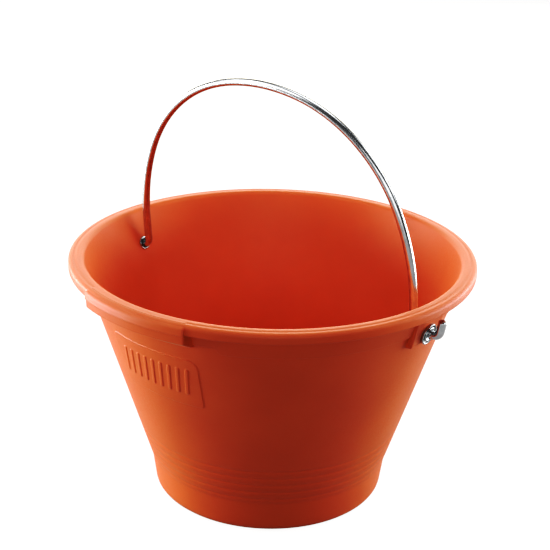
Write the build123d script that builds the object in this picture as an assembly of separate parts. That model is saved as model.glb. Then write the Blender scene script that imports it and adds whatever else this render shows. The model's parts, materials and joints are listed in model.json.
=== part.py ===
"""A mason's bucket: one moulded plastic shell with a heavy rolled rim, and a round steel wire bail
that hooks through a lined hole in a thick pad on each side.

Frame: +Z up, millimetres, the origin on the floor at the centre of the base.
The bail turns about a line along X. The pouring lip and the raised panel face -Y.
"""
from build123d import *
from math import asin, atan, cos, degrees, pi, radians, sin, tan
import os

os.makedirs("parts", exist_ok=True)

# ---- the shell ------------------------------------------------------------------------------
height = 217.0              # floor to the top of the rim
mouth_radius = 162.0        # inside of the shell at the top of the rim
taper = 0.322               # how much the radius grows for each millimetre of height
wall = 3.6                  # wall thickness, measured square to the wall
floor_thickness = 4.5
foot_height = 29.0          # where the shell turns steeper towards the base
foot_taper = 0.14
base_round = 7.0            # corner between the foot and the floor, outside
base_round_inside = 5.0
foot_bend = 12.0            # soft bend where the foot begins
base_recess = 1.5           # the floor is hollowed under the middle, so that it stands on a ring
base_ring_width = 12.0
centre_boss_radius = 9.0    # moulding gate mark in the hollow under the floor
centre_boss_height = 0.8

# ---- the five shallow bands above the foot --------------------------------------------------
band_count = 5
band_pitch = 7.9
band_lowest = 34.5          # height of the middle of the lowest band
band_width = 3.6
band_depth = 0.5

# ---- the rim --------------------------------------------------------------------------------
rim_width = 13.0            # from the mouth out to the outside of the rolled edge
land_width = 7.2            # flat top of the rim, from the mouth outwards
valley_width = 1.7
valley_depth = 3.1
bead_rise = 0.6             # the rolled edge stands this much above the valley
skirt_depth = 9.0           # lower edge of the rolled edge, below the top
skirt_thickness = 2.7
rim_plate = 6.0             # thickness of the rim under the flat top
collar_depth = 28.5         # lower edge of the thick band under the rim, below the top
collar_proud = 1.8          # how far that band stands out from the wall

# ---- the pouring lip and the panel under it -------------------------------------------------
grip_azimuth = -92.0        # where the lip and the panel face, about Z from +X
lip_span = 36.0             # how far the lip runs around the rim, in degrees
lip_overhang = 2.5          # the lip stands out this much further than the rolled edge
lip_bead_width = 4.5        # from the edge of the lip's flat top to its outside
lip_bead_depth = 8.5        # lower edge of the rounded upper half of the lip
lip_step = 0.6              # small step between the two halves
lip_depth = 16.0            # lower edge of the lip's face
lip_root_depth = 25.5       # where the sloping underside meets the shell
window_reach = 9.0          # the collar stops this far beyond each end of the lip
window_flare = 9.0          # and slopes away by this much more
window_round = 4.0
window_overlap = 3.0        # the cut runs this far past the collar, up into the lip and down
panel_span = 35.5
panel_top_depth = 39.5      # top edge of the panel, below the top of the rim
panel_bottom_depth = 88.0
panel_proud = 0.7
panel_round_top = 9.0
panel_round_bottom = 3.0
bar_count = 9
bar_pitch = 8.4
bar_width = 3.0
bar_slant = 12.0            # the bars lean this many degrees from upright
bar_top_depth = 51.0
bar_bottom_depth = 74.0
bar_proud = 0.7             # how far a bar stands out from the panel

# ---- the pads and eyelets that carry the bail -----------------------------------------------
hole_depth = 30.0           # bail axis, below the top of the rim
pad_thickness = 7.16        # from the inside of the wall to the pad's face, along the bail axis
pad_lean = 14.0             # the face leans back by this many degrees, less than the wall does
pad_half_width = 20.0
pad_depth = 38.5            # lower edge of the pad, below the top of the rim
pad_corner = 1.2
eyelet_diameter = 10.0      # outside of the eyelet's barrel, and the hole in the shell
eyelet_flange_diameter = 12.6
eyelet_flange_thickness = 1.4
eyelet_curl_diameter = 13.6
eyelet_curl_thickness = 2.0
eyelet_mouth = 1.0          # the bore flares by this much at each end, so that the wire's bends clear it
seat_depth = 0.3            # shallow flat seat for the flange in the curved inner wall
washer_diameter = 18.6
washer_bore_clearance = 1.4
washer_thickness = 1.0
washer_lip = 1.3            # thickness of the washer's rolled edge
washer_lip_height = 2.6

# ---- the bail -------------------------------------------------------------------------------
wire_diameter = 7.0
wire_clearance = 0.5        # between the wire and the bore of the eyelet, all round
leg_clearance = 2.64        # between an upright leg and the inside of the wall, at the hole
bail_rise = 181.0           # from the bail axis to the centre line at the crown
leg_radius = 185.0          # three tangent arcs on each side: leg, shoulder and crown
leg_turn = 23.0
shoulder_radius = 134.0
shoulder_end = 77.3         # heading at the end of the shoulder, from upright
bail_lean = 5.7             # the bail rests this many degrees off upright, towards the lip
inner_bend = 6.5            # centre-line radius where the leg turns out through the hole
hook_reach = 12.5           # from the pad's face out to the hook's centre line, where its bend ends
hook_bend = 6.5
hook_turn = 76.0            # the hook leans outwards, so the wire turns less than square
hook_rise = 15.0            # top of the hook above the bail axis
wire_end_chamfer = 0.7

# ---- worked out from the sizes above --------------------------------------------------------
cone_angle = degrees(atan(taper))
wall_across = wall / cos(radians(cone_angle))
hole_height = height - hole_depth
seat_radius = mouth_radius - taper * hole_depth
bore_diameter = wire_diameter + 2 * wire_clearance
rim_radius = mouth_radius + rim_width
lip_radius = rim_radius + lip_overhang
lip_land = lip_radius - lip_bead_width
pad_face = seat_radius + pad_thickness
bail_half_width = seat_radius - leg_clearance - wire_diameter / 2


def inside_radius(z):
    """Radius of the cone that is the inside of the wall, at height z."""
    return mouth_radius - taper * (height - z)


def outside_radius(z):
    """Radius of the cone that is the outside of the wall, at height z."""
    return inside_radius(z) + wall_across


def section(corners):
    """A closed outline in the XZ plane, from (radius, height, corner rounding) for each corner."""
    points = [(r, z) for r, z, _ in corners]
    with BuildSketch(Plane.XZ) as sketch:
        with BuildLine():
            FilletPolyline(*points, radius=[rounding for _, _, rounding in corners], close=True)
        make_face()
    return sketch.sketch


def turned(corners, start=0.0, arc=360.0):
    """The solid that a section sweeps about Z, from the start azimuth through the arc."""
    return revolve(section(corners).rotate(Axis.Z, start), axis=Axis.Z, revolution_arc=arc)


# ---- shell ----------------------------------------------------------------------------------
def shell_section():
    """Half section of the plain round bucket, counted from the middle of the base outwards."""
    foot_outside = outside_radius(foot_height)
    base_outside = foot_outside - foot_taper * foot_height
    foot_inside = inside_radius(foot_height)
    base_inside = foot_inside - foot_taper * (foot_height - floor_thickness)
    ring_inside = base_outside - base_ring_width
    land_outside = mouth_radius + land_width
    valley = land_outside + valley_width
    bead_inside = rim_radius - skirt_thickness
    collar_bottom = height - collar_depth
    plate_bottom = height - rim_plate
    return [
        (0, base_recess, 0),
        (ring_inside - base_recess, base_recess, 0),
        (ring_inside, 0, 0),
        (base_outside, 0, base_round),
        (foot_outside, foot_height, foot_bend),
        (outside_radius(collar_bottom), collar_bottom, 0.4),
        (outside_radius(collar_bottom) + collar_proud, collar_bottom + 0.6, 0.6),
        (outside_radius(plate_bottom) + collar_proud, plate_bottom, 1.0),
        (bead_inside, plate_bottom, 0.8),
        (bead_inside, height - skirt_depth, 0.5),
        (rim_radius, height - skirt_depth, 1.1),
        (rim_radius, height - valley_depth + bead_rise, 2.0),
        (bead_inside, height - valley_depth + bead_rise, 0.6),
        (valley, height - valley_depth, 0.6),
        (land_outside, height, 1.6),
        (mouth_radius, height, 1.3),
        (foot_inside, foot_height, foot_bend),
        (base_inside, floor_thickness, base_round_inside),
        (0, floor_thickness, 0),
    ]


def foot_band(index):
    """One shallow groove around the foot, cut to band_depth at its middle."""
    middle = band_lowest + index * band_pitch
    half = band_width / 2
    deep = outside_radius(middle) - band_depth
    clear = outside_radius(middle + band_width) + 2
    return turned([
        (outside_radius(middle - half), middle - half, 0),
        (clear, middle - half, 0),
        (clear, middle + half, 0),
        (outside_radius(middle + half), middle + half, 0),
        (deep, middle, band_width / 4),
    ])


def gate_mark():
    """The low round boss in the middle of the hollow under the floor."""
    disc = Cylinder(centre_boss_radius, centre_boss_height, align=(Align.CENTER, Align.CENTER, Align.MAX))
    return Pos(0, 0, base_recess) * disc


# ---- pouring lip, collar window, panel ------------------------------------------------------
def lip():
    """The widened stretch of rim: flat top, rounded bead, lower band and sloping underside."""
    step_z = height - lip_bead_depth
    root_z = height - lip_root_depth
    outline = [
        (mouth_radius + land_width / 2, height, 0),
        (lip_land, height, 0.9),
        (lip_land + 0.8, height - 1.1, 0.4),
        (lip_radius - 1.4, height - 1.0, 1.2),
        (lip_radius, height - 4.6, 2.0),
        (lip_radius, step_z, 0.4),
        (lip_radius - lip_step, step_z - 0.4, 0),
        (lip_radius - lip_step - 0.4, height - lip_depth, 0.9),
        (outside_radius(root_z) + collar_proud, root_z, 1.0),
        (outside_radius(root_z) - wall_across / 2, root_z, 0),
    ]
    return turned(outline, start=grip_azimuth - lip_span / 2, arc=lip_span)


def facing(azimuth, distance=0.0):
    """An upright drawing plane square to an azimuth: its x runs along the rim, its y is +Z."""
    out = Vector(cos(radians(azimuth)), sin(radians(azimuth)), 0)
    side = Vector(-out.Y, out.X, 0)
    return Plane(origin=out * distance, x_dir=side, z_dir=out)


def collar_window():
    """What is cut from the collar under the lip: a space whose two ends slope outwards going down."""
    top = height - lip_root_depth + window_overlap
    bottom = height - collar_depth - window_overlap
    half_top = lip_radius * sin(radians(lip_span / 2)) + window_reach
    half_bottom = half_top + window_flare
    outline = Polygon(
        (-half_top, top), (half_top, top),
        (half_bottom, bottom), (-half_bottom, bottom),
        align=None)
    outline = fillet(outline.vertices().group_by(Axis.Y)[-1], window_round)
    clear = lip_radius + window_round
    return extrude(facing(grip_azimuth) * outline, clear) & turned([
        (outside_radius(bottom), bottom, 0),
        (clear, bottom, 0),
        (clear, top, 0),
        (outside_radius(top), top, 0),
    ])


def cone_layer(low, high, inner, outer):
    """A conical layer on the outside of the wall, between two stand-off distances."""
    return turned([
        (outside_radius(low) + inner, low, 0),
        (outside_radius(low) + outer, low, 0),
        (outside_radius(high) + outer, high, 0),
        (outside_radius(high) + inner, high, 0),
    ])


def panel():
    """The thin raised panel under the lip, with rounded corners."""
    top = height - panel_top_depth
    bottom = height - panel_bottom_depth
    half_top = outside_radius(top) * sin(radians(panel_span / 2))
    half_bottom = outside_radius(bottom) * sin(radians(panel_span / 2))
    outline = Polygon(
        (-half_top, top), (half_top, top),
        (half_bottom, bottom), (-half_bottom, bottom),
        align=None)
    rows = outline.vertices().group_by(Axis.Y)
    outline = fillet(rows[-1], panel_round_top)
    outline = fillet(outline.vertices().group_by(Axis.Y)[0], panel_round_bottom)
    layer = cone_layer(bottom - 5, top + 5, -wall_across / 2, panel_proud)
    return layer & extrude(facing(grip_azimuth) * outline, rim_radius)


def panel_bars():
    """A plain row of slanted bars that stands out from the panel."""
    top = height - bar_top_depth
    bottom = height - bar_bottom_depth
    shift = (top - bottom) * tan(radians(bar_slant)) / 2
    layer = cone_layer(bottom - 2, top + 2, -wall_across / 2, panel_proud + bar_proud)
    bars = []
    for index in range(bar_count):
        middle = (index - (bar_count - 1) / 2) * bar_pitch
        outline = Polygon(
            (middle - bar_width / 2 - shift, bottom), (middle + bar_width / 2 - shift, bottom),
            (middle + bar_width / 2 + shift, top), (middle - bar_width / 2 + shift, top),
            align=None)
        outline = fillet(outline.vertices(), bar_width / 3)
        bars.append(layer & extrude(facing(grip_azimuth) * outline, rim_radius))
    return bars


# ---- pads -----------------------------------------------------------------------------------
def pad_plane():
    """The face of the pad on the +X side: its normal points out and a little down."""
    out = Vector(cos(radians(pad_lean)), 0, -sin(radians(pad_lean)))
    return Plane(origin=(pad_face, 0, hole_height), x_dir=(0, 1, 0), z_dir=out)


def pad():
    """The thick pad on the +X side that the bail hangs in, from the rim down past the hole."""
    bottom = height - pad_depth
    top = height - rim_plate
    lean = tan(radians(pad_lean))
    buried = inside_radius(bottom) + wall_across / 2
    outline = Plane.XZ * Polygon(
        (buried * cos(asin(pad_half_width / buried)), bottom),
        (pad_face + (bottom - hole_height) * lean, bottom),
        (pad_face + (top - hole_height) * lean, top),
        (inside_radius(top) * cos(asin(pad_half_width / inside_radius(top))), top),
        align=None)
    block = extrude(outline, pad_half_width, both=True)
    front = block.faces().sort_by(SortBy.DISTANCE, reverse=True)
    face = [f for f in front if abs(f.normal_at().dot(pad_plane().z_dir)) > 0.999][0]
    upper = face.edges().sort_by(Axis.Z)[-1]
    block = chamfer([e for e in face.edges() if e != upper], pad_corner)
    return block - inside_cone()


def inside_cone():
    """The space inside the shell, as one solid."""
    low = foot_height
    return turned([(0, low, 0), (inside_radius(low), low, 0), (mouth_radius, height, 0), (0, height, 0)])


def inner_seat_plane():
    """The flange's seat on the inner wall, +X side: its normal points in and a little up."""
    normal = Vector(-cos(radians(cone_angle)), 0, sin(radians(cone_angle)))
    on_wall = Vector(seat_radius, 0, hole_height)
    return Plane(origin=on_wall - normal * seat_depth, x_dir=(0, 1, 0), z_dir=normal)


def disc_on(plane, diameter, thickness):
    """A round disc that stands on a plane, on the side its normal points to."""
    return plane * Cylinder(diameter / 2, thickness, align=(Align.CENTER, Align.CENTER, Align.MIN))


def along_x(diameter, start, end):
    """A round bar on the bail axis, from one X to another."""
    bar = Cylinder(diameter / 2, end - start, align=(Align.CENTER, Align.CENTER, Align.MIN))
    return Pos(start, 0, hole_height) * Rot(0, 90, 0) * bar


def hole():
    """The hole through the pad and the wall, and the shallow seat around it on the inside."""
    seat = disc_on(inner_seat_plane(), eyelet_flange_diameter + 0.6, 6.0)
    return [along_x(eyelet_diameter, seat_radius - 10, pad_face + 10), seat]


def both_sides(shapes):
    """The +X shapes and their mirror images on the -X side."""
    return shapes + [mirror(shape, Plane.YZ) for shape in shapes]


def bucket_body():
    shell = turned(shell_section())
    shell -= collar_window()
    shell += [lip(), panel(), gate_mark()] + panel_bars() + both_sides([pad()])
    shell -= [foot_band(index) for index in range(band_count)]
    shell -= both_sides(hole())
    return shell


# ---- eyelets and washers --------------------------------------------------------------------
def rolled_disc(plane, diameter, thickness):
    """A flange with a full round outer edge."""
    disc = disc_on(plane, diameter, thickness)
    rims = disc.edges().filter_by(GeomType.CIRCLE)
    return fillet(rims, thickness * 0.42)


def mouth_cone():
    """What is cut to flare one end of the bore, with its wide end on the drawing plane."""
    narrow = bore_diameter / 2 - eyelet_mouth
    wide = bore_diameter / 2 + eyelet_mouth
    return Cone(narrow, wide, wide - narrow, align=(Align.CENTER, Align.CENTER, Align.MAX))


def eyelet():
    """The +X eyelet: a barrel through the hole, a flange inside and a curled edge outside."""
    inner = inner_seat_plane()
    washer_top = pad_plane().offset(washer_thickness)
    barrel = along_x(eyelet_diameter, seat_radius - 10, pad_face + 10)
    barrel = split(barrel, inner.offset(eyelet_flange_thickness / 2), keep=Keep.BOTTOM)
    barrel = split(barrel, washer_top.offset(eyelet_curl_thickness / 2), keep=Keep.BOTTOM)
    flange = rolled_disc(inner, eyelet_flange_diameter, eyelet_flange_thickness)
    curl = rolled_disc(washer_top, eyelet_curl_diameter, eyelet_curl_thickness)
    solid = barrel + flange + curl - along_x(bore_diameter, seat_radius - 20, pad_face + 20)
    fronts = [inner.offset(eyelet_flange_thickness), washer_top.offset(eyelet_curl_thickness)]
    return solid - [front * mouth_cone() for front in fronts]


def washer():
    """The +X washer: a flat ring on the pad with a rolled edge, like a shallow dish."""
    bore = eyelet_diameter / 2 + washer_bore_clearance / 2
    edge = washer_diameter / 2
    ring = section([
        (bore, 0, 0),
        (edge, 0, 0.4),
        (edge, washer_lip_height, washer_lip * 0.45),
        (edge - washer_lip, washer_lip_height, washer_lip * 0.45),
        (edge - washer_lip, washer_thickness, 0.4),
        (bore, washer_thickness, 0),
    ])
    return pad_plane() * revolve(ring, axis=Axis.Z)


# ---- bail -----------------------------------------------------------------------------------
def bail_path():
    """Centre line of the wire in the XZ plane, from one hook over the crown to the other.

    Each entry is a straight run ("run", length) or a turn ("turn", radius, degrees), where a
    positive turn is anticlockwise. The second half is the first half backwards.
    """
    leg = radians(leg_turn)
    shoulder = radians(shoulder_end)
    after_leg = bail_half_width - leg_radius * (1 - cos(leg))
    after_shoulder = after_leg - shoulder_radius * (cos(leg) - cos(shoulder))
    crown_radius = after_shoulder / cos(shoulder)
    curved_rise = (leg_radius * sin(leg) + shoulder_radius * (sin(shoulder) - sin(leg))
                   + crown_radius * (1 - sin(shoulder)))
    straight_leg = bail_rise - curved_rise
    turn = radians(hook_turn)
    bend_rise = hook_bend * (1 - cos(turn))
    hook_run = (hook_rise - bend_rise) / sin(turn)
    bend_start = pad_face + hook_reach - hook_bend
    half = [
        ("run", hook_run),
        ("turn", hook_bend, -hook_turn),
        ("run", bend_start - bail_half_width - inner_bend),
        ("turn", inner_bend, -90),
        ("run", straight_leg - inner_bend),
        ("turn", leg_radius, leg_turn),
        ("turn", shoulder_radius, shoulder_end - leg_turn),
        ("turn", crown_radius, 90 - shoulder_end),
    ]
    tip_x = bend_start + hook_bend * sin(turn) + hook_run * cos(turn)
    start = (tip_x, hole_height + hook_rise)
    heading = (-cos(turn), -sin(turn))
    with BuildLine(Plane.XZ) as path:
        place, direction = start, heading
        for step in half + half[::-1]:
            if step[0] == "run":
                edge = Line(place, (place[0] + step[1] * direction[0], place[1] + step[1] * direction[1]))
            else:
                edge = JernArc(place, direction, step[1], step[2])
            end, way = edge @ 1, edge % 1
            place, direction = (end.X, end.Z), (way.X, way.Z)
    return path.wire()


def bail_handle():
    path = bail_path()
    start = Plane(origin=path @ 0, z_dir=path % 0)
    wire = sweep(start * Circle(wire_diameter / 2), path=path)
    ends = [face for face in wire.faces() if face.geom_type == GeomType.PLANE]
    wire = chamfer([edge for face in ends for edge in face.edges()], wire_end_chamfer)
    bail_axis = Axis((0, 0, hole_height), (1, 0, 0))
    return wire.rotate(bail_axis, bail_lean), path.length


# ---- write the pieces -----------------------------------------------------------------------
bail, wire_length = bail_handle()
eyelet_right = eyelet()
washer_right = washer()
pieces = {
    "bucket_body": bucket_body(),
    "bail_handle": bail,
    "eyelet_right": eyelet_right,
    "eyelet_left": mirror(eyelet_right, Plane.YZ),
    "eyelet_washer_right": washer_right,
    "eyelet_washer_left": mirror(washer_right, Plane.YZ),
}
for name, solid in pieces.items():
    export_step(solid, f"parts/{name}.step")
    box = solid.bounding_box()
    print(name, "volume", round(solid.volume), "from", box.min, "to", box.max)
wire_section = pi * (wire_diameter / 2) ** 2
print("wire length", round(wire_length, 1), "volume by length", round(wire_length * wire_section))
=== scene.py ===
# %% [markdown]
# # A mason's bucket with a steel bail
#
# One orange polyethylene moulding and one bent wire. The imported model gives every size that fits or
# moves. This script gives the bucket its moulded surface and the steel its shine.

import json
from math import atan, cos, pi, radians, sin, tan

import bpy
import numpy as np
from mathutils import Matrix, Vector


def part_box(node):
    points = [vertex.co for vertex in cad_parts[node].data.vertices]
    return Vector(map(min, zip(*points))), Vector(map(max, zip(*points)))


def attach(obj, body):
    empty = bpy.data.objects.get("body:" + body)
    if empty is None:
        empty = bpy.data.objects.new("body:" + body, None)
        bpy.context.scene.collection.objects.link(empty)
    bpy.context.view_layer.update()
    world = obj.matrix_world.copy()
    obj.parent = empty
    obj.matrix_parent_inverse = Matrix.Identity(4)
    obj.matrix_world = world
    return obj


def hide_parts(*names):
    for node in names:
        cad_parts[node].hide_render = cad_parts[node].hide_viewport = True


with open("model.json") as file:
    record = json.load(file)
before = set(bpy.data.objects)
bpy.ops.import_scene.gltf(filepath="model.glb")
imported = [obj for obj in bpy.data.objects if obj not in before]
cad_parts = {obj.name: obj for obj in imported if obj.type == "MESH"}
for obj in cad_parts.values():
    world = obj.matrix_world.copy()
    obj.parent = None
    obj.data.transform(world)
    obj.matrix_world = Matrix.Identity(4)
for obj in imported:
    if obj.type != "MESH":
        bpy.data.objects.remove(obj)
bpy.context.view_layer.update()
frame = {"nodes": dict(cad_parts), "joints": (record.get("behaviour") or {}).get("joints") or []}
MM = 0.001
body_low, body_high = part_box("bucket_body")
bail_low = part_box("bail_handle")[0]
height = body_high.z
rim_radius = body_high.x
bail_axis = Vector(frame["joints"][0]["pos_m"])
print("bucket", round(2 * rim_radius / MM), "mm across and", round(height / MM), "mm high")

# %% [markdown]
# ## The camera
#
# The camera is a long lens about 1.2 m away, 21 degrees above the rim and 38 degrees round towards the
# right-hand hinge. It looks almost at the middle of the rim, with a slight roll, as a hand-held camera
# has. Turning the camera, and not shifting its lens, keeps the perspective true.

# %% Camera
camera_azimuth = radians(38.1)      # from -Y towards +X
camera_elevation = radians(20.85)
camera_distance = 6.8965 * rim_radius
camera_yaw, camera_pitch, camera_roll = -0.0018, -0.0169, -0.02328
sensor_width, lens_length = 36.0, 91.63636


def place_camera():
    """A camera on a sphere about the middle of the rim, turned by small yaw, pitch and roll angles.

    The columns of axes are its right, up and back. Each small turn is about the camera's own axis.
    """
    back = Vector((sin(camera_azimuth) * cos(camera_elevation),
                   -cos(camera_azimuth) * cos(camera_elevation), sin(camera_elevation)))
    right = Vector((0, 0, 1)).cross(back).normalized()
    axes = Matrix((right, back.cross(right), back)).transposed()
    axes = axes @ Matrix.Rotation(camera_yaw, 3, "Y")
    axes = axes @ Matrix.Rotation(camera_pitch, 3, "X")
    axes = axes @ Matrix.Rotation(-camera_roll, 3, "Z")
    data = bpy.data.cameras.new("camera")
    data.sensor_width = sensor_width
    data.lens = lens_length
    camera = bpy.data.objects.new("camera", data)
    bpy.context.scene.collection.objects.link(camera)
    place = Vector((0, 0, height)) + camera_distance * back
    camera.matrix_world = Matrix.Translation(place) @ axes.to_4x4()
    bpy.context.scene.camera = camera
    return axes.col[0], -axes.col[2]


view_right, view_forward = place_camera()
print("camera", round(camera_distance, 2), "m from the rim's middle")

# %% [markdown]
# ## The floor and the sky
#
# The bucket stands on pale paper in a white studio. A white room would also fill every shadow with light
# and wash the colour out. So floor and sky answer each kind of ray with its own strength: white to the
# camera, grey to a mirrored ray, and next to nothing to the light that the plastic gathers.

# %% Floor and sky
floor_half = 12.0
floor_seen, floor_mirrored = 0.94, 0.27
sky_seen, sky_dim = 1.0, 0.08
paper_grey, paper_roughness, paper_gloss = (0.15, 0.15, 0.15, 1), 0.9, 0.1


def plain_material(name):
    """A new node material and its Principled shader."""
    material = bpy.data.materials.new(name)
    material.use_nodes = True
    return material, material.node_tree.nodes["Principled BSDF"]


def seen_as(tree, camera, mirrored, other):
    """A strength with one value for the camera, one for what gloss mirrors and one for the rest."""
    path = tree.nodes.new("ShaderNodeLightPath")
    by_gloss = tree.nodes.new("ShaderNodeMapRange")
    by_camera = tree.nodes.new("ShaderNodeMapRange")
    by_gloss.inputs["To Min"].default_value = other
    by_gloss.inputs["To Max"].default_value = mirrored
    by_camera.inputs["To Max"].default_value = camera
    tree.links.new(path.outputs["Is Glossy Ray"], by_gloss.inputs["Value"])
    tree.links.new(path.outputs["Is Camera Ray"], by_camera.inputs["Value"])
    tree.links.new(by_gloss.outputs["Result"], by_camera.inputs["To Min"])
    return by_camera.outputs["Result"]


def add_floor():
    """A flat square under the bucket."""
    corners = [(-floor_half, -floor_half, 0), (floor_half, -floor_half, 0),
               (floor_half, floor_half, 0), (-floor_half, floor_half, 0)]
    mesh = bpy.data.meshes.new("floor")
    mesh.from_pydata(corners, [], [(0, 1, 2, 3)])
    floor = bpy.data.objects.new("floor", mesh)
    bpy.context.scene.collection.objects.link(floor)
    material, shader = plain_material("floor_paper")
    shader.inputs["Base Color"].default_value = paper_grey
    shader.inputs["Roughness"].default_value = paper_roughness
    shader.inputs["Specular IOR Level"].default_value = paper_gloss
    shader.inputs["Emission Color"].default_value = (1, 1, 1, 1)
    tree = material.node_tree
    glow = seen_as(tree, floor_seen, floor_mirrored, 0.0)
    tree.links.new(glow, shader.inputs["Emission Strength"])
    mesh.materials.append(material)


def add_sky():
    """White to the camera, and a dim even light for everything else."""
    world = bpy.data.worlds.new("studio")
    world.use_nodes = True
    tree = world.node_tree
    background = tree.nodes["Background"]
    background.inputs["Color"].default_value = (1, 1, 1, 1)
    tree.links.new(seen_as(tree, sky_seen, sky_dim, sky_dim), background.inputs["Strength"])
    bpy.context.scene.world = world


add_floor()
add_sky()
print("floor", 2 * floor_half, "m square")

# %% [markdown]
# ## The lights
#
# Smooth plastic shows its light more than its colour. Two low boxes stand left and right of the bucket, so
# both sides glow and the front falls into a deep red. Two high boxes look over the rim and light the
# inside of the far walls. The warm wall behind is mirrored in the top of the rim, which turns it pale. A
# small box over the mouth and a weak one in front only lift what is left.

# %% Lights
wall_middle, mouth_middle = Vector((0, 0, 0.12)), Vector((0, 0, height))
white, warm = (1.0, 1.0, 1.0), (1.0, 0.92, 0.76)
soft_boxes = [
    # name, place: to the right, ahead and up, aimed at, width, length, watts, colour
    ("left_box", (-0.85, 0.20, 0.19), wall_middle, 0.80, 0.38, 10.8, white),
    ("right_box", (0.85, 0.30, 0.19), wall_middle, 0.80, 0.38, 8.0, white),
    ("left_high_box", (-0.75, -0.10, 0.85), mouth_middle, 0.60, 0.60, 2.9, white),
    ("right_high_box", (0.75, -0.10, 0.85), mouth_middle, 0.60, 0.60, 2.7, white),
    ("top_box", (0.00, 0.02, 0.85), mouth_middle, 0.35, 0.35, 0.8, white),
    ("back_wall", (0.00, 2.00, 1.00), mouth_middle, 4.60, 1.50, 74.0, warm),
    ("front_fill", (0.00, -1.60, 0.60), wall_middle, 1.40, 0.80, 6.0, white),
]


def soft_box(name, place, target, width, length, watts, colour):
    """A rectangular area light. Its place is given level with the camera's right and its forward."""
    data = bpy.data.lights.new(name, "AREA")
    data.shape = "RECTANGLE"
    data.size, data.size_y = width, length
    data.energy = watts
    data.color = colour
    light = bpy.data.objects.new(name, data)
    bpy.context.scene.collection.objects.link(light)
    side = Vector((view_right.x, view_right.y, 0)).normalized()
    ahead = Vector((view_forward.x, view_forward.y, 0)).normalized()
    stand = place[0] * side + place[1] * ahead + Vector((0, 0, place[2]))
    turn = (stand - target).normalized().to_track_quat("Z", "Y").to_matrix()
    light.matrix_world = Matrix.Translation(stand) @ turn.to_4x4()
    light.visible_camera = False


for row in soft_boxes:
    soft_box(*row)
print(len(soft_boxes), "lights")

# %% [markdown]
# ## The contrast
#
# Film deepens its weak channels. In the shaded plastic these are green and blue, so a curve with a soft
# toe turns the dark side red and leaves the lit side orange.

# %% Contrast curve
film_curve = ((0.03, 0.009), (0.068, 0.025), (0.1, 0.055), (0.16, 0.135), (0.25, 0.26),
              (0.375, 0.41), (0.6, 0.64))
settings = bpy.context.scene.view_settings
settings.view_transform = "Standard"
settings.use_curve_mapping = True
all_channels = settings.curve_mapping.curves[3]
for light_in, light_out in film_curve:
    all_channels.points.new(light_in, light_out)
settings.curve_mapping.update()
print("contrast curve with", len(all_channels.points), "points")

# %% [markdown]
# ## Surfaces from rings
#
# Every new piece here is a skin over a stack of rings: the shell's rings run round its axis, and the
# wire's rings are sections along its length. One function turns any such stack into a closed mesh, and
# another rounds the corners of the outlines that rings are made from, because no moulded edge is sharp.

# %% Rounded outlines
arc_steps = 5


def rounded(corners, closed=False):
    """Points along an outline with round corners, as an array (..., points, 2).

    corners lists (across, up, rounding, runs): the place of a corner, the radius of its arc, and how many
    parts the straight run after it is cut into. across and up may be arrays, one value for each section.
    The arc is the circle that touches both runs, written as a rational curve: the weight of its middle
    point, the corner itself, is the sine of half the corner's inside angle.
    """
    values = np.broadcast_arrays(*[np.asarray(value, float) for row in corners for value in row[:2]])
    across, up = np.stack(values[0::2], -1), np.stack(values[1::2], -1)
    places = np.stack([across, up], -1)
    ahead = np.roll(places, -1, axis=-2) - places
    behind = np.roll(places, 1, axis=-2) - places
    ahead /= np.linalg.norm(ahead, axis=-1, keepdims=True)
    behind /= np.linalg.norm(behind, axis=-1, keepdims=True)
    half_angle = np.arccos(np.clip((ahead * behind).sum(-1, keepdims=True), -1, 1)) / 2
    t = np.linspace(0, 1, arc_steps + 1)[:, None]
    last = len(corners) - 1
    arcs = []
    for k, (_, _, rounding, _) in enumerate(corners):
        corner = places[..., None, k, :]
        if rounding == 0 or (not closed and k in (0, last)):
            arcs.append(corner)
            continue
        reach = rounding / np.tan(half_angle[..., None, k, :])
        start = corner + behind[..., None, k, :] * reach
        end = corner + ahead[..., None, k, :] * reach
        middle_weight = 2 * t * (1 - t) * np.sin(half_angle[..., None, k, :])
        total = (1 - t) ** 2 + middle_weight + t ** 2
        arcs.append(((1 - t) ** 2 * start + middle_weight * corner + t ** 2 * end) / total)
    line = []
    for k, (_, _, _, runs) in enumerate(corners):
        line.append(arcs[k])
        if k < last or closed:
            share = (np.arange(1, runs) / runs)[:, None]
            following = arcs[(k + 1) % len(corners)][..., :1, :]
            line.append(arcs[k][..., -1:, :] * (1 - share) + following * share)
    return np.concatenate(line, axis=-2)


def smooth(x):
    """0 below 0, 1 above 1, and an even S between: 3x^2 - 2x^3."""
    x = np.clip(x, 0, 1)
    return x * x * (3 - 2 * x)


square = rounded([(0, 0, 1, 1), (4, 0, 1, 1), (4, 4, 1, 1), (0, 4, 1, 1)], closed=True)
print("a square with round corners has", len(square), "points")


# %% Normals and volume
def broad_normals(mesh):
    """Vertex normals as the sum of the face normals around, each times its area.

    A broad face then stays flat in the light and the narrow rounded edges beside it take the whole turn.
    """
    mesh.shade_smooth()
    faces = len(mesh.polygons)
    normals, areas = np.zeros(faces * 3), np.zeros(faces)
    starts, sizes = np.zeros(faces, int), np.zeros(faces, int)
    mesh.polygons.foreach_get("normal", normals)
    mesh.polygons.foreach_get("area", areas)
    mesh.polygons.foreach_get("loop_start", starts)
    mesh.polygons.foreach_get("loop_total", sizes)
    corners = np.zeros(len(mesh.loops), int)
    mesh.loops.foreach_get("vertex_index", corners)
    owner = np.repeat(np.arange(faces), sizes)
    weighted = (normals.reshape(-1, 3) * areas[:, None])[owner]
    total = np.zeros((len(mesh.vertices), 3))
    np.add.at(total, corners, weighted)
    total /= np.maximum(np.linalg.norm(total, axis=1, keepdims=True), 1e-20)
    mesh.normals_split_custom_set_from_vertices(total.tolist())


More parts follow.
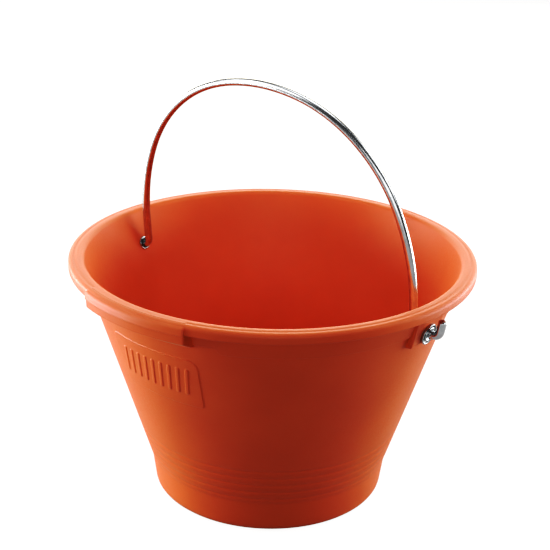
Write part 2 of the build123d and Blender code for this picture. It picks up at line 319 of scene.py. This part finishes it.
def volume_inside(points, triangles):
    """The volume that a closed mesh holds: a sixth of the sum of a . (b x c) over its triangles."""
    a, b, c = (points[triangles[:, k]] for k in range(3))
    return (a * np.cross(b, c)).sum() / 6


corner = np.array([[0, 0, 0], [1, 0, 0], [0, 1, 0], [0, 0, 1]])
corner_faces = np.array([[0, 2, 1], [0, 1, 3], [1, 2, 3], [0, 3, 2]])
print("the corner of a cube holds", round(volume_inside(corner, corner_faces), 3), "of it")


# %% A closed mesh from rings
def ring_uv(along, around, turn):
    """UV corners of the faces in the order that skin makes them: turns around, and metres along."""
    row, column = np.meshgrid(np.arange(len(along) - 1), np.arange(around), indexing="ij")
    u = np.stack([column, column + 1, column + 1, column], -1) / around
    v = np.stack([along[row], along[row], along[row + 1], along[row + 1]], -1)
    quads = np.stack([u, v], -1).reshape(-1, 4, 2)
    here = np.arange(around)
    fan_u = np.stack([(here + 1) % around, here, here], -1) / around
    first = np.stack([fan_u, np.zeros_like(fan_u)], -1)
    final = first + np.array([0, along[-1]])
    return np.concatenate([part[:, turn].reshape(-1, 2) for part in (quads, first, final)])


def skin(name, rings, along=None):
    """An object whose closed mesh is stretched over rings: rings[i, j] is point j of ring i, in metres.

    Neighbouring rings are joined by four-sided faces, and the first and the last ring are each closed by a
    fan to their middle. The faces are turned outwards where the volume comes out negative. With along,
    one length for each ring, the mesh gets a UV map: turns around the ring, and metres along the piece.
    """
    count, around = rings.shape[:2]
    points = np.vstack([rings.reshape(-1, 3), rings[0].mean(0), rings[-1].mean(0)])
    row, column = np.meshgrid(np.arange(count - 1), np.arange(around), indexing="ij")
    beside = (column + 1) % around
    quads = np.stack([row * around + column, row * around + beside,
                      (row + 1) * around + beside, (row + 1) * around + column], -1).reshape(-1, 4)
    here = np.arange(around)
    there = (here + 1) % around
    first = np.stack([there, here, np.full(around, count * around)], -1)
    final = np.stack([here, there, np.full(around, count * around + 1)], -1)
    final[:, :2] += (count - 1) * around
    triangles = np.vstack([quads[:, [0, 1, 2]], quads[:, [0, 2, 3]], first, final])
    outwards = volume_inside(points, triangles) > 0
    turn = slice(None) if outwards else slice(None, None, -1)
    faces = quads[:, turn].tolist() + first[:, turn].tolist() + final[:, turn].tolist()
    mesh = bpy.data.meshes.new(name)
    mesh.from_pydata(points.tolist(), [], faces)
    if along is not None:
        uv = ring_uv(along, around, turn)
        mesh.uv_layers.new(name="along").uv.foreach_set("vector", uv.ravel())
    mesh.validate()
    piece = bpy.data.objects.new(name, mesh)
    bpy.context.scene.collection.objects.link(piece)
    return piece


def round_ends(start, end, radius, count):
    """Places from start to end for sections whose last ones draw back, and how far each draws back.

    Near both ends the places and the drawing back follow a quarter circle of the given radius.
    """
    quarter = np.linspace(0, pi / 2, arc_steps + 1)[:-1]
    ahead, back = radius * (1 - np.cos(quarter)), radius * (1 - np.sin(quarter))
    middle = np.linspace(start + radius, end - radius, count)
    places = np.concatenate([start + ahead, middle, end - ahead[::-1]])
    return places, np.concatenate([back, np.zeros(count), back[::-1]])


print("rounded ends at", np.round(round_ends(0, 10, 1, 2)[0], 2))


# %% Holes and finish
hole_sides = 96


def drill(piece, radius, start_x, end_x):
    """Cuts a round hole through a piece, along the bail axis between two X places."""
    turn = np.linspace(0, 2 * pi, hole_sides, endpoint=False)
    x = np.array([start_x, end_x])[:, None]
    y, z = bail_axis.y + radius * np.cos(turn), bail_axis.z + radius * np.sin(turn)
    cutter = skin("cutter", np.stack(np.broadcast_arrays(x, y, z), -1))
    cut = piece.modifiers.new("hole", "BOOLEAN")
    cut.operation = "DIFFERENCE"
    cut.solver = "EXACT"
    cut.object = cutter
    evaluated = piece.evaluated_get(bpy.context.evaluated_depsgraph_get())
    piece.data = bpy.data.meshes.new_from_object(evaluated)
    piece.modifiers.clear()
    bpy.data.objects.remove(cutter)


def finish_piece(piece, body, material):
    """Gives a piece its normals, body, slot and material, and says how large it is."""
    broad_normals(piece.data)
    piece.data.materials.clear()
    piece.data.materials.append(material)
    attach(piece, body)
    corners = np.zeros(len(piece.data.polygons), int)
    piece.data.polygons.foreach_get("loop_total", corners)
    print(piece.name, (corners - 2).sum(), "triangles")


print("a drilled hole has", hole_sides, "sides")


# %% [markdown]
# ## The shell
#
# The real shell is one injection moulding with nearly even walls. Turned on a lathe it would be the same
# at every azimuth, so the surface is a section swept round the axis. Only one thing breaks the round: the
# thick collar under the rim rises where it meets the pouring lip. That is done by letting the height of
# the collar's lower edge be an array, one value for each azimuth, so the moulding stays one clean surface.

# %% Wall
rim_width = 13 * MM
mouth_radius = rim_radius - rim_width
taper = 0.322                       # growth of the radius for each unit of height
wall_across = 3.6 * MM / cos(atan(taper))


def inside_radius(z):
    """The inside of the wall is a cone: its radius grows by the taper for each unit of height."""
    return mouth_radius - taper * (height - z)


def outside_radius(z):
    """The outside is the same cone, further out by the wall's thickness measured level."""
    return inside_radius(z) + wall_across


print("wall", round(wall_across / MM, 2), "mm measured level")

# %% Foot and floor
floor_thickness = 4.5 * MM
foot_height, foot_taper, foot_round = 29 * MM, 0.14, 12 * MM
hollow, ring_width = 1.5 * MM, 12 * MM
gate_radius, gate_rise, axis_gap = 9 * MM, 0.8 * MM, 1 * MM
band_lowest, band_pitch, band_count = 34.5 * MM, 7.9 * MM, 5
band_width, band_depth = 3.8 * MM, 0.45 * MM
bands_top = band_lowest + band_count * band_pitch


def foot_corners():
    """From the axis outwards: the gate mark in its hollow, the ring that stands on the floor, the foot.

    The wall above it has points close together, for the five bands.
    """
    foot_outside = outside_radius(foot_height)
    base_outside = foot_outside - foot_taper * foot_height
    bands_start = band_lowest - band_width
    return [
        (axis_gap, hollow - gate_rise, 0, 2),
        (gate_radius, hollow - gate_rise, 0.3 * MM, 1),
        (gate_radius, hollow, 0.3 * MM, 4),
        (base_outside - ring_width - hollow, hollow, 0.6 * MM, 1),
        (base_outside - ring_width, 0, 0.6 * MM, 2),
        (base_outside, 0, 7 * MM, 4),
        (foot_outside, foot_height, foot_round, 1),
        (outside_radius(bands_start), bands_start, 0, 48),
        (outside_radius(bands_top), bands_top, 0, 16),
    ]


def inside_corners():
    """From the mouth down the inside of the wall, round into the floor and in to the axis."""
    foot_inside = inside_radius(foot_height)
    base_inside = foot_inside - foot_taper * (foot_height - floor_thickness)
    return [
        (mouth_radius, height, 4.5 * MM, 30),
        (foot_inside, foot_height, foot_round, 4),
        (base_inside, floor_thickness, 5 * MM, 6),
        (axis_gap, floor_thickness, 0, 1),
    ]


print("foot", round(foot_height / MM), "mm high, under", band_count, "bands")

# %% Collar
grip_azimuth = radians(-92)         # where the lip and the panel face
lip_radius = -body_low.y
lip_half_span = radians(18)
lip_root_depth = 25.5 * MM
collar_depth, collar_proud = 28.5 * MM, 1.8 * MM
collar_gap, collar_tuck = 9 * MM, 3 * MM
flange_top = height - 6 * MM


def collar_bottom(azimuth):
    """Height of the collar's lower edge: it slopes up by 45 degrees just before it meets the lip."""
    away = azimuth - grip_azimuth
    radius = outside_radius(height - collar_depth) + collar_proud
    sideways = np.where(np.cos(away) > 0, np.abs(np.sin(away)) * radius, 1)
    window = lip_radius * sin(lip_half_span) + collar_gap
    rise = collar_depth - (lip_root_depth - collar_tuck)
    return height - collar_depth + rise * (1 - smooth((sideways - window) / rise))


def collar_corners(azimuth):
    """A step out from the wall, then straight up to the underside of the rim."""
    low = collar_bottom(azimuth)
    return [
        (outside_radius(low), low, 0.9 * MM, 1),
        (outside_radius(low) + collar_proud, low + 0.7 * MM, 0.8 * MM, 5),
        (outside_radius(flange_top) + collar_proud, flange_top, 1.6 * MM, 1),
    ]


print("collar", collar_depth / MM, "mm deep")

# %% Rim
skirt, skirt_wall = height - 9 * MM, 2.7 * MM
bead_width, bead_drop, bead_round = 3.6 * MM, 0.3 * MM, 3.4 * MM
land_width, groove_reach, groove_depth = 5.6 * MM, 2.0 * MM, 0.55 * MM


def rim_corners():
    """The rolled rim: under its skirt, up its outside, over the bead and the shallow groove to the land."""
    inner_skirt = rim_radius - skirt_wall
    land = mouth_radius + land_width
    return [
        (inner_skirt, flange_top, 0.8 * MM, 1),
        (inner_skirt, skirt, 0.6 * MM, 1),
        (rim_radius, skirt, 1.2 * MM, 2),
        (rim_radius, height - bead_drop, bead_round, 1),
        (rim_radius - bead_width, height - bead_drop, 1.0 * MM, 1),
        (land + groove_reach, height - groove_depth, 3.0 * MM, 1),
        (land, height, 2.5 * MM, 2),
    ]


print("rim", round((height - skirt) / MM), "mm deep and", round(rim_width / MM), "mm wide")

# %% The shell's surface
hole_radius = 5 * MM
past_rim = rim_radius + 10 * MM
slope_from, slope_to = 19, 27       # degrees from the lip's middle, where the collar's edge slopes


def shell_azimuths():
    """Every degree, and every third of a degree where the collar's edge slopes."""
    fine = np.radians(np.linspace(slope_from, slope_to, 3 * (slope_to - slope_from) + 1))
    even = np.radians(np.arange(0, 360, 1.0))
    azimuth = np.concatenate([even, (grip_azimuth + fine) % (2 * pi), (grip_azimuth - fine) % (2 * pi)])
    return np.unique(np.round(azimuth, 6))


def shell_rings():
    """Rings round the axis. Each of the five bands is a groove of depth (1 - x^2)^2 across its width."""
    azimuth = shell_azimuths()
    section = rounded(foot_corners() + collar_corners(azimuth) + rim_corners() + inside_corners())
    radius, z = section[..., 0].copy(), section[..., 1]
    outside = radius > inside_radius(z) + wall_across / 2
    for band in range(band_count):
        x = np.clip((z - band_lowest - band * band_pitch) / (band_width / 2), -1, 1)
        radius -= outside * band_depth * (1 - x ** 2) ** 2
    x, y = radius * np.cos(azimuth)[:, None], radius * np.sin(azimuth)[:, None]
    return np.stack([x, y, z], -1).swapaxes(0, 1)


shell = skin("bucket_shell", shell_rings())
drill(shell, hole_radius, -past_rim, past_rim)
print("shell", len(shell.data.vertices), "points")

# %% [markdown]
# ## The pouring lip
#
# On one side the rolled rim grows into a deeper, blunter lip for pouring and for a grip. It has a flat
# top, a small step, a round shoulder, a thin step, a lower band and a sloping underside. It is a section
# of its own, swept over 36 degrees, with rounded ends that stop square, as the real one does.

# %% Lip
lip_top = height - 0.05 * MM        # just under the land, so that the two tops don't fight
lip_step, lip_band = height - 8.5 * MM, height - 16 * MM
lip_start, lip_flat = mouth_radius + 4 * MM, lip_radius - 6.5 * MM
lip_end_round, lip_sections = 1.8 * MM, 61


def lip_corners():
    """The lip's closed section: over its top, down its face and back through the wall."""
    root = height - lip_root_depth
    buried = outside_radius(root) - wall_across / 2
    return [
        (lip_start, lip_top, 0, 3),
        (lip_flat, lip_top, 0.7 * MM, 1),
        (lip_flat + 0.4 * MM, height - 1.2 * MM, 0.3 * MM, 2),
        (lip_radius - 1.0 * MM, height - 1.8 * MM, 3.4 * MM, 1),
        (lip_radius, lip_step, 0.6 * MM, 1),
        (lip_radius - 1.1 * MM, lip_step - 0.6 * MM, 0.3 * MM, 3),
        (lip_radius - 1.5 * MM, lip_band, 1.1 * MM, 4),
        (outside_radius(root) + collar_proud, root, 2.0 * MM, 1),
        (buried, root, 0, 1),
        (buried, height - 7 * MM, 0, 2),
    ]


def lip_rings():
    """The section swept round the axis. The end rings shrink towards their middle."""
    section = rounded(lip_corners(), closed=True)
    half_length = lip_half_span * lip_radius
    along, shrink = round_ends(-half_length, half_length, lip_end_round, lip_sections)
    azimuth = grip_azimuth + along[:, None] / lip_radius
    middle = section.mean(0)
    spread = np.abs(section - middle).max(0)
    sections = middle + (section - middle)[None] * (1 - shrink[:, None, None] / spread)
    radius, z = sections[..., 0], sections[..., 1]
    return np.stack([radius * np.cos(azimuth), radius * np.sin(azimuth), z], -1)


lip = skin("pouring_lip", lip_rings())
print("lip", len(lip.data.vertices), "points")

# %% [markdown]
# ## The raised panel
#
# Under the lip a thin panel stands out from the wall, with a row of slanted bars on it. A panel cut from
# a block would meet the wall with a hard line. Here its height over the wall is a smooth function of the
# distance to its outline, and it starts a little under the wall's surface, so the edge rolls out of the
# wall.

# %% Panel outline
panel_half_span, panel_margin = radians(17.75), radians(0.65)
panel_top, panel_bottom, panel_skirt = height - 39.5 * MM, height - 88 * MM, 1.5 * MM
panel_proud, panel_sunk, panel_edge = 0.5 * MM, 0.4 * MM, 1.3 * MM
panel_top_round, panel_bottom_round, panel_back = 9 * MM, 3 * MM, 1.8 * MM
panel_columns, panel_rows = 261, 121
bar_count, bar_pitch, bar_slant = 9, 8.4 * MM, tan(radians(12))
bar_top, bar_bottom = height - 50 * MM, height - 76 * MM
bar_half, bar_round, bar_proud, bar_edge = 1.6 * MM, 1.4 * MM, 0.55 * MM, 0.9 * MM


def inside_outline(sideways, above, below, top_round, bottom_round):
    """Distance inward from the nearest edge of an outline with round corners.

    sideways, above and below are the distances to the side, the top and the bottom edge. Near a
    corner, the distance is the corner's radius less the distance to the centre of its arc.
    """
    distance = np.minimum(sideways, np.minimum(above, below))
    for edge, radius in ((above, top_round), (below, bottom_round)):
        corner = radius - np.hypot(np.maximum(radius - sideways, 0), np.maximum(radius - edge, 0))
        distance = np.minimum(distance, corner)
    return distance


def panel_height(sideways, z, radius):
    """How far the panel and its bars stand out from the wall at each point."""
    to_side = panel_half_span * radius - np.abs(sideways)
    edge = inside_outline(to_side, panel_top - z, z - panel_bottom, panel_top_round, panel_bottom_round)
    rise = (panel_proud + panel_sunk) * smooth(edge / panel_edge + 0.5) - panel_sunk
    for index in range(bar_count):
        lean = (z - (bar_top + bar_bottom) / 2) * bar_slant
        middle = (index - (bar_count - 1) / 2) * bar_pitch + lean
        to_side = bar_half - np.abs(sideways - middle)
        bar = inside_outline(to_side, bar_top - z, z - bar_bottom, bar_round, bar_round)
        rise = rise + bar_proud * smooth(bar / bar_edge + 0.4)
    return rise


print("panel", round((panel_top - panel_bottom) / MM, 1), "mm high with", bar_count, "bars")


# %% Panel
def panel_rings():
    """One ring for each column of the panel: up its front, and down a plain back inside the wall."""
    half_span = panel_half_span + panel_margin
    away = np.linspace(-half_span, half_span, panel_columns)[:, None]
    z = np.linspace(panel_bottom - panel_skirt, panel_top + panel_skirt, panel_rows)[None]
    wall = outside_radius(z)
    front = wall + panel_height(wall * np.sin(away), z, wall)
    back_z = np.array([z[0, -1], (z[0, 0] + z[0, -1]) / 2, z[0, 0]])[None]
    back = np.broadcast_to(outside_radius(back_z) - panel_back, (len(away), 3))
    radius = np.concatenate([front, back], 1)
    z = np.concatenate([np.broadcast_to(z, front.shape), np.broadcast_to(back_z, back.shape)], 1)
    azimuth = grip_azimuth + away
    return np.stack([radius * np.cos(azimuth), radius * np.sin(azimuth), z], -1)


panel = skin("front_panel", panel_rings())
print("panel", len(panel.data.vertices), "points")

# %% [markdown]
# ## The pads
#
# The wire's pull would tear a thin wall, so the moulding is a solid block around each hole. The block's
# face leans back less than the wall does, and the washer lies flat on it.

# %% Pads
pad_face, pad_lean, pad_half_width = 159.5 * MM, tan(radians(14)), 20 * MM
pad_bottom, pad_top = height - 38.5 * MM, flange_top
pad_side_round, pad_corner_round, pad_sections = 1.6 * MM, 2.0 * MM, 25
pad_drill_start = mouth_radius - 62 * MM


def pad_rings(side):
    """Sections across the pad, from one end of its width to the other, for side +1 (right) or -1 (left).

    The back of each section lies in the middle of the wall, at the square root of r^2 - y^2. The rings
    at both ends draw back, which rounds the edges of the face.
    """
    y, draw = round_ends(-pad_half_width, pad_half_width, pad_side_round, pad_sections)
    buried_low, buried_high = (np.sqrt((inside_radius(z) + wall_across / 2) ** 2 - y ** 2)
                               for z in (pad_bottom, pad_top))
    section = rounded([
        (buried_low, pad_bottom + draw, 0, 2),
        (pad_face + (pad_bottom - bail_axis.z) * pad_lean - draw, pad_bottom + draw, pad_corner_round, 12),
        (pad_face + (pad_top - bail_axis.z) * pad_lean - draw, pad_top, 0, 2),
        (buried_high, pad_top, 0, 2),
    ], closed=True)
    across = np.broadcast_to(y[:, None], section.shape[:2])
    return np.stack([side * section[..., 0], across, section[..., 1]], -1)


pads = []
for side, name in ((1, "pad_right"), (-1, "pad_left")):
    pad = skin(name, pad_rings(side))
    drill(pad, hole_radius, side * pad_drill_start, side * past_rim)
    pads.append(pad)
print(len(pads), "pads")

# %% [markdown]
# ## The bail
#
# The bail is one drawn wire, bent over a former. Its centre line is only straight runs and tangent arcs,
# so it is described as a wire bender would: how far to feed, how far to turn. The wire is a circle
# carried along that line. A UV map gives the turns around the wire and the metres along it, for the
# drawing marks.

# %% Bail sizes
wire_radius = bail_axis.z - bail_low.z
leg_x, crown_rise = 146.2 * MM, 181 * MM
leg_radius, leg_turn = 185 * MM, radians(23)
shoulder_radius, shoulder_end = 134 * MM, radians(77.3)
hook_bend, inner_bend, hook_turn = 6.5 * MM, 6.5 * MM, radians(76)
hook_reach, hook_rise, bail_lean = 172 * MM, 15 * MM, radians(5.7)
arc_part, run_part, wire_sides, end_chamfer = radians(3.5), 5 * MM, 40, 0.7 * MM


def bends():
    """Half of the bail as (length fed, angle turned) steps, from the right-hand hook to the crown."""
    after_leg = leg_x - leg_radius * (1 - cos(leg_turn))
    after_shoulder = after_leg - shoulder_radius * (cos(leg_turn) - cos(shoulder_end))
    crown_radius = after_shoulder / cos(shoulder_end)
    curved = (leg_radius * sin(leg_turn) + shoulder_radius * (sin(shoulder_end) - sin(leg_turn))
              + crown_radius * (1 - sin(shoulder_end)))
    hook_run = (hook_rise - hook_bend * (1 - cos(hook_turn))) / sin(hook_turn)
    return [
        (hook_run, 0),
        (hook_bend * hook_turn, -hook_turn),
        (hook_reach - hook_bend - leg_x - inner_bend, 0),
        (inner_bend * pi / 2, -pi / 2),
        (crown_rise - curved - inner_bend, 0),
        (leg_radius * leg_turn, leg_turn),
        (shoulder_radius * (shoulder_end - leg_turn), shoulder_end - leg_turn),
        (crown_radius * (pi / 2 - shoulder_end), pi / 2 - shoulder_end),
    ]


print("wire", round(2 * wire_radius / MM, 1), "mm thick, half of it in", len(bends()), "steps")


# %% Bail
def wire_line():
    """Places, headings and lengths along the centre line, in the plane of the bail.

    On an arc, a step of length d that turns by a goes d * sin(a / 2) / (a / 2) along the mean heading.
    """
    steps = bends()
    steps = steps + steps[::-1]
    fed, turned_by = [], []
    for length, angle in steps:
        parts = max(int(np.ceil(abs(angle) / arc_part)), int(np.ceil(length / run_part)))
        fed += [length / parts] * parts
        turned_by += [angle / parts] * parts
    fed, turned_by = np.array(fed), np.array(turned_by)
    start = pi + hook_turn
    heading = start + np.concatenate([[0], np.cumsum(turned_by)])
    mean = (heading[1:] + heading[:-1]) / 2
    chord = fed * np.sinc(turned_by / 2 / pi)
    x = np.concatenate([[0], np.cumsum(chord * np.cos(mean))])
    z = np.concatenate([[0], np.cumsum(chord * np.sin(mean))])
    hook_run = steps[0][0]
    tip_x = hook_reach - hook_bend + hook_bend * sin(hook_turn) + hook_run * cos(hook_turn)
    along = np.concatenate([[0], np.cumsum(fed)])
    return tip_x + x, hook_rise + z, heading, along


def bail_rings():
    """A circle square to the line at each place, with chamfered ends, all leaning towards the lip."""
    x, z, heading, along = wire_line()
    ends = np.array([0, end_chamfer])
    fractions = np.concatenate([ends, along[2:-2], along[-1] - ends[::-1]])
    x, z, heading = (np.interp(fractions, along, values) for values in (x, z, heading))
    radius = np.full(len(fractions), wire_radius)
    radius[[0, -1]] -= end_chamfer
    turn = np.linspace(0, 2 * pi, wire_sides, endpoint=False)
    out = radius[:, None] * np.cos(turn)
    flat_x = x[:, None] - np.sin(heading)[:, None] * out
    flat_z = z[:, None] + np.cos(heading)[:, None] * out
    flat_y = radius[:, None] * np.sin(turn)
    y = flat_y * cos(bail_lean) - flat_z * sin(bail_lean)
    up = flat_y * sin(bail_lean) + flat_z * cos(bail_lean)
    return np.stack([flat_x, bail_axis.y + y, bail_axis.z + up], -1), fractions


rings, along = bail_rings()
bail = skin("bail_wire", rings, along)
crown = rings[..., 2].max() - height
print("wire", round(along[-1] / MM, 1), "mm long, crown", round(crown / MM, 1), "mm over the rim")

# %% [markdown]
# ## Finishes
#
# Two things recur on moulded plastic and on plated steel alike: a slow drift of tone, and a fine grain
# that the light catches. Each is a shader node group, built once, and every material sets its own scale.
# A group gives out only a colour or a value, so the Principled shader stays in the material, where its
# plain numbers can be read.


# %% Node helpers
def feed(tree, socket, value):
    """Links a socket to another node's output, or gives it a plain value."""
    if isinstance(value, bpy.types.NodeSocket):
        tree.links.new(value, socket)
    else:
        socket.default_value = value


def noise(tree, vector, scale, detail):
    """A cloud of values about one half, read at a vector."""
    node = tree.nodes.new("ShaderNodeTexNoise")
    for label, value in (("Vector", vector), ("Scale", scale), ("Detail", detail)):
        feed(tree, node.inputs[label], value)
    return node.outputs["Fac"]


def mapped(tree, value, low, high):
    """The middle of a noise's range, 0.3 to 0.7, moved to low and high and kept inside them."""
    node = tree.nodes.new("ShaderNodeMapRange")
    for label, given in (("Value", value), ("From Min", 0.3), ("From Max", 0.7),
                         ("To Min", low), ("To Max", high)):
        feed(tree, node.inputs[label], given)
    return node.outputs["Result"]


def mixed(tree, factor, first, second):
    """A colour between two others."""
    node = tree.nodes.new("ShaderNodeMix")
    node.data_type = "RGBA"
    tree.links.new(factor, node.inputs["Factor"])
    colours = [s for s in node.inputs if s.type == "RGBA"]
    for socket, colour in zip(colours, (first, second)):
        tree.links.new(colour, socket)
    return [s for s in node.outputs if s.type == "RGBA"][0]


def bump(tree, height_output, below=None):
    """A bump node for a height in metres, on top of another one's normal."""
    node = tree.nodes.new("ShaderNodeBump")
    node.inputs["Strength"].default_value = 1.0
    node.inputs["Distance"].default_value = 1.0
    tree.links.new(height_output, node.inputs["Height"])
    if below is not None:
        tree.links.new(below, node.inputs["Normal"])
    return node.outputs["Normal"]


print("helpers feed, noise, mapped, mixed and bump")


# %% Shared node groups
def node_group(name, inputs, outputs):
    """An empty shader group with named sockets, given as (name, kind, value) and (name, kind)."""
    group = bpy.data.node_groups.new(name, "ShaderNodeTree")
    for label, kind, value in inputs:
        socket = group.interface.new_socket(label, in_out="INPUT", socket_type="NodeSocket" + kind)
        socket.default_value = value
    for label, kind in outputs:
        group.interface.new_socket(label, in_out="OUTPUT", socket_type="NodeSocket" + kind)
    return group, group.nodes.new("NodeGroupInput").outputs, group.nodes.new("NodeGroupOutput").inputs


def tone_drift():
    """A colour that wanders between two tones, in broad clouds with finer ones inside them."""
    group, given, result = node_group(
        "tone_drift",
        [("Vector", "Vector", (0, 0, 0)), ("Tone A", "Color", (1, 1, 1, 1)),
         ("Tone B", "Color", (0, 0, 0, 1)), ("Scale", "Float", 10.0)],
        [("Color", "Color")])
    cloud = mapped(group, noise(group, given["Vector"], given["Scale"], 4.0), 0.0, 1.0)
    group.links.new(mixed(group, cloud, given["Tone A"], given["Tone B"]), result["Color"])
    return group


def fine_grain():
    """A roughness that varies between two values, and a height in metres for bump."""
    group, given, result = node_group(
        "fine_grain",
        [("Vector", "Vector", (0, 0, 0)), ("Scale", "Float", 500.0), ("Depth", "Float", 0.00001),
         ("Smoothest", "Float", 0.3), ("Roughest", "Float", 0.4)],
        [("Height", "Float"), ("Roughness", "Float")])
    grain = noise(group, given["Vector"], given["Scale"], 2.0)
    deep = group.nodes.new("ShaderNodeMath")
    deep.operation = "MULTIPLY"
    group.links.new(grain, deep.inputs[0])
    group.links.new(given["Depth"], deep.inputs[1])
    group.links.new(deep.outputs[0], result["Height"])
    group.links.new(mapped(group, grain, given["Smoothest"], given["Roughest"]), result["Roughness"])
    return group


def place_group(tree, group, vector, **values):
    """A group node in a material, with its vector linked and its own values."""
    node = tree.nodes.new("ShaderNodeGroup")
    node.node_tree = group
    tree.links.new(vector, node.inputs["Vector"])
    for label, value in values.items():
        node.inputs[label.replace("_", " ")].default_value = value
    return node.outputs


drift, grain_group = tone_drift(), fine_grain()
print("groups", drift.name, "and", grain_group.name)

# %% [markdown]
# ## The plastic
#
# Polyethylene is waxy: light enters it a little way, its gloss is broad and soft, a thin bloom pales it
# where it turns away, and the mould's own polish shows as a very fine orange peel. Long soft waves in the
# wall, where the melt cooled unevenly, keep the reflections from being ruler straight.

# %% Orange polyethylene
bright_orange, deep_orange = (0.75, 0.140, 0.038, 1), (0.69, 0.119, 0.032, 1)
clouds_per_metre, peel_per_metre, waves_per_metre = 14.0, 650.0, 22.0
peel_depth, wave_depth = 0.012 * MM, 0.35 * MM
plastic_numbers = {
    "IOR": 1.5,
    "Subsurface Weight": 0.12,
    "Subsurface Radius": (1.0, 0.25, 0.1),
    "Subsurface Scale": 3 * MM,
    "Sheen Weight": 0.07,
    "Sheen Roughness": 0.45,
    "Sheen Tint": (1.0, 0.9, 0.78, 1),
}


def orange_plastic():
    """Two orange tones, a roughness that varies with the peel, and two bumps, one on the other."""
    material, shader = plain_material("orange_polyethylene")
    tree = material.node_tree
    place = tree.nodes.new("ShaderNodeTexCoord").outputs["Object"]
    tone = place_group(tree, drift, place, Tone_A=bright_orange, Tone_B=deep_orange, Scale=clouds_per_metre)
    peel = place_group(tree, grain_group, place, Scale=peel_per_metre, Depth=peel_depth,
                       Smoothest=0.46, Roughest=0.56)
    waves = place_group(tree, grain_group, place, Scale=waves_per_metre, Depth=wave_depth)
    tree.links.new(tone["Color"], shader.inputs["Base Color"])
    tree.links.new(peel["Roughness"], shader.inputs["Roughness"])
    tree.links.new(bump(tree, peel["Height"], bump(tree, waves["Height"])), shader.inputs["Normal"])
    for label, value in plastic_numbers.items():
        shader.inputs[label].default_value = value
    return material


plastic = orange_plastic()
print(plastic.name, "with", len(plastic.node_tree.nodes), "nodes")

# %% [markdown]
# ## The steel
#
# The wire was drawn, plated with bright zinc and bent. Drawing leaves faint lines along the wire, so its
# grain is stretched along the UV map's length: many cells in one turn, few in one metre. The pressed
# eyelets and washers have no such direction.

# %% Bright zinc
drawn_grain, pressed_grain = (28.0, 22.0, 1.0), (700.0, 700.0, 700.0)
plating_clouds, plating_depth = 160.0, 0.006 * MM
wire_bright, wire_dull = (0.72, 0.74, 0.75, 1), (0.54, 0.56, 0.58, 1)
pressed_bright, pressed_dull = (0.44, 0.47, 0.48, 1), (0.25, 0.27, 0.28, 1)


def bright_zinc(name, coordinates, grain_scale, tone_a, tone_b):
    """Metal with a drift of tone and a grain that reads the given coordinates, stretched by a scale."""
    material, shader = plain_material(name)
    tree = material.node_tree
    texture = tree.nodes.new("ShaderNodeTexCoord")
    stretched = tree.nodes.new("ShaderNodeMapping")
    stretched.inputs["Scale"].default_value = grain_scale
    tree.links.new(texture.outputs[coordinates], stretched.inputs["Vector"])
    tone = place_group(tree, drift, texture.outputs["Object"], Tone_A=tone_a, Tone_B=tone_b,
                       Scale=plating_clouds)
    grain = place_group(tree, grain_group, stretched.outputs[0], Scale=1.0, Depth=plating_depth,
                        Smoothest=0.14, Roughest=0.27)
    tree.links.new(tone["Color"], shader.inputs["Base Color"])
    tree.links.new(grain["Roughness"], shader.inputs["Roughness"])
    tree.links.new(bump(tree, grain["Height"]), shader.inputs["Normal"])
    shader.inputs["Metallic"].default_value = 1.0
    return material


wire_steel = bright_zinc("drawn_zinc_wire", "UV", drawn_grain, wire_bright, wire_dull)
pressed_steel = bright_zinc("pressed_zinc", "Object", pressed_grain, pressed_bright, pressed_dull)
print(wire_steel.name, "and", pressed_steel.name)

# %% [markdown]
# ## Putting it together
#
# Every plastic piece rides with the bucket and the wire rides with the bail, so each follows its part when
# the bail swings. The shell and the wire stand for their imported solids. The eyelets and washers are right
# as they are and only get the pressed finish.

# %% Finish the pieces
steel_nodes = ("eyelet_right", "eyelet_left", "eyelet_washer_right", "eyelet_washer_left")
for piece in (shell, lip, panel, *pads):
    finish_piece(piece, "bucket", plastic)
finish_piece(bail, "bail", wire_steel)
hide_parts("bucket_body")
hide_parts("bail_handle")
for name in steel_nodes:
    frame["nodes"][name].material_slots[0].material = pressed_steel
print(len(steel_nodes), "pressed steel pieces")
